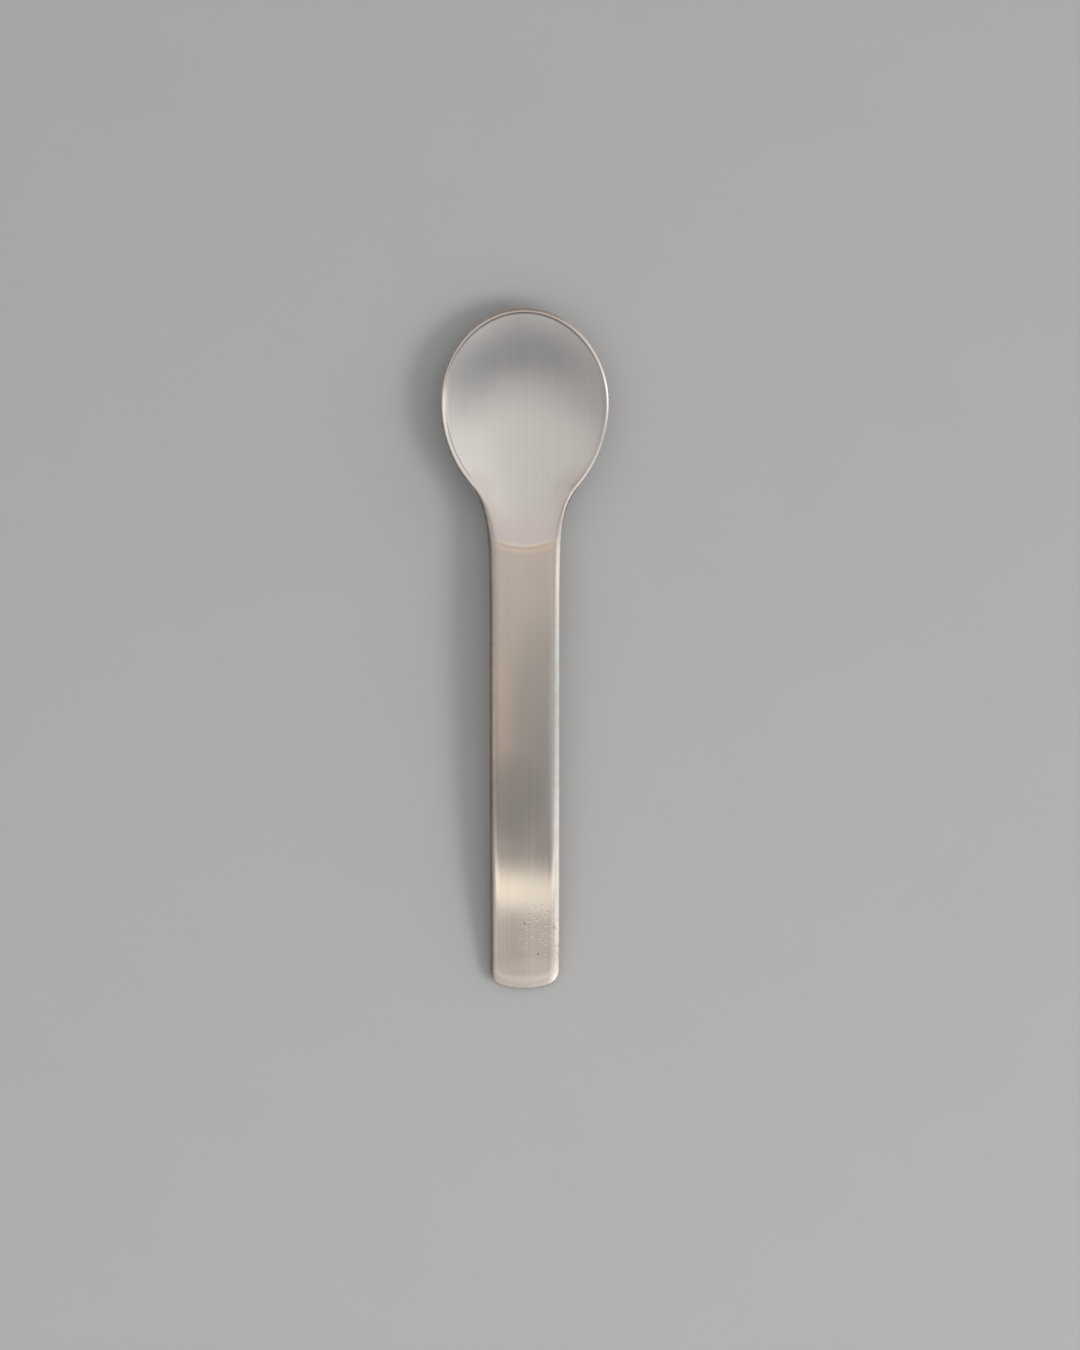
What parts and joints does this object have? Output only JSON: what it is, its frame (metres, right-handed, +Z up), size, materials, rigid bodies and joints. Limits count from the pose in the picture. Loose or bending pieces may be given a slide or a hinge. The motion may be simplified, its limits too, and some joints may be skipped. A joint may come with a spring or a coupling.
{
  "type": "dessert spoon",
  "caption": "Dessert spoon with an egg-shaped bowl brazed to a broad, flat, gently arched handle with soft edges and a gently curved end, lying face up.",
  "frame": {"origin": "centre of the bottom of the bounding box, on the surface that the spoon lies on", "axes": "+Y along the spoon from the handle's end towards the bowl's tip, +Z up out of the open bowl, +X to the right with the tip pointing away"},
  "size_m": [0.042, 0.17, 0.0092],
  "materials": {
    "satin_steel": "fine satin polish along the length",
    "braze_filler": "ground flush, tan",
    "brushed_steel": "brushed along the length, worn"
  },
  "bodies": {
    "root": {"bowl": "satin_steel", "braze_seam": "braze_filler", "handle": "brushed_steel"}
  },
  "joints": []
}
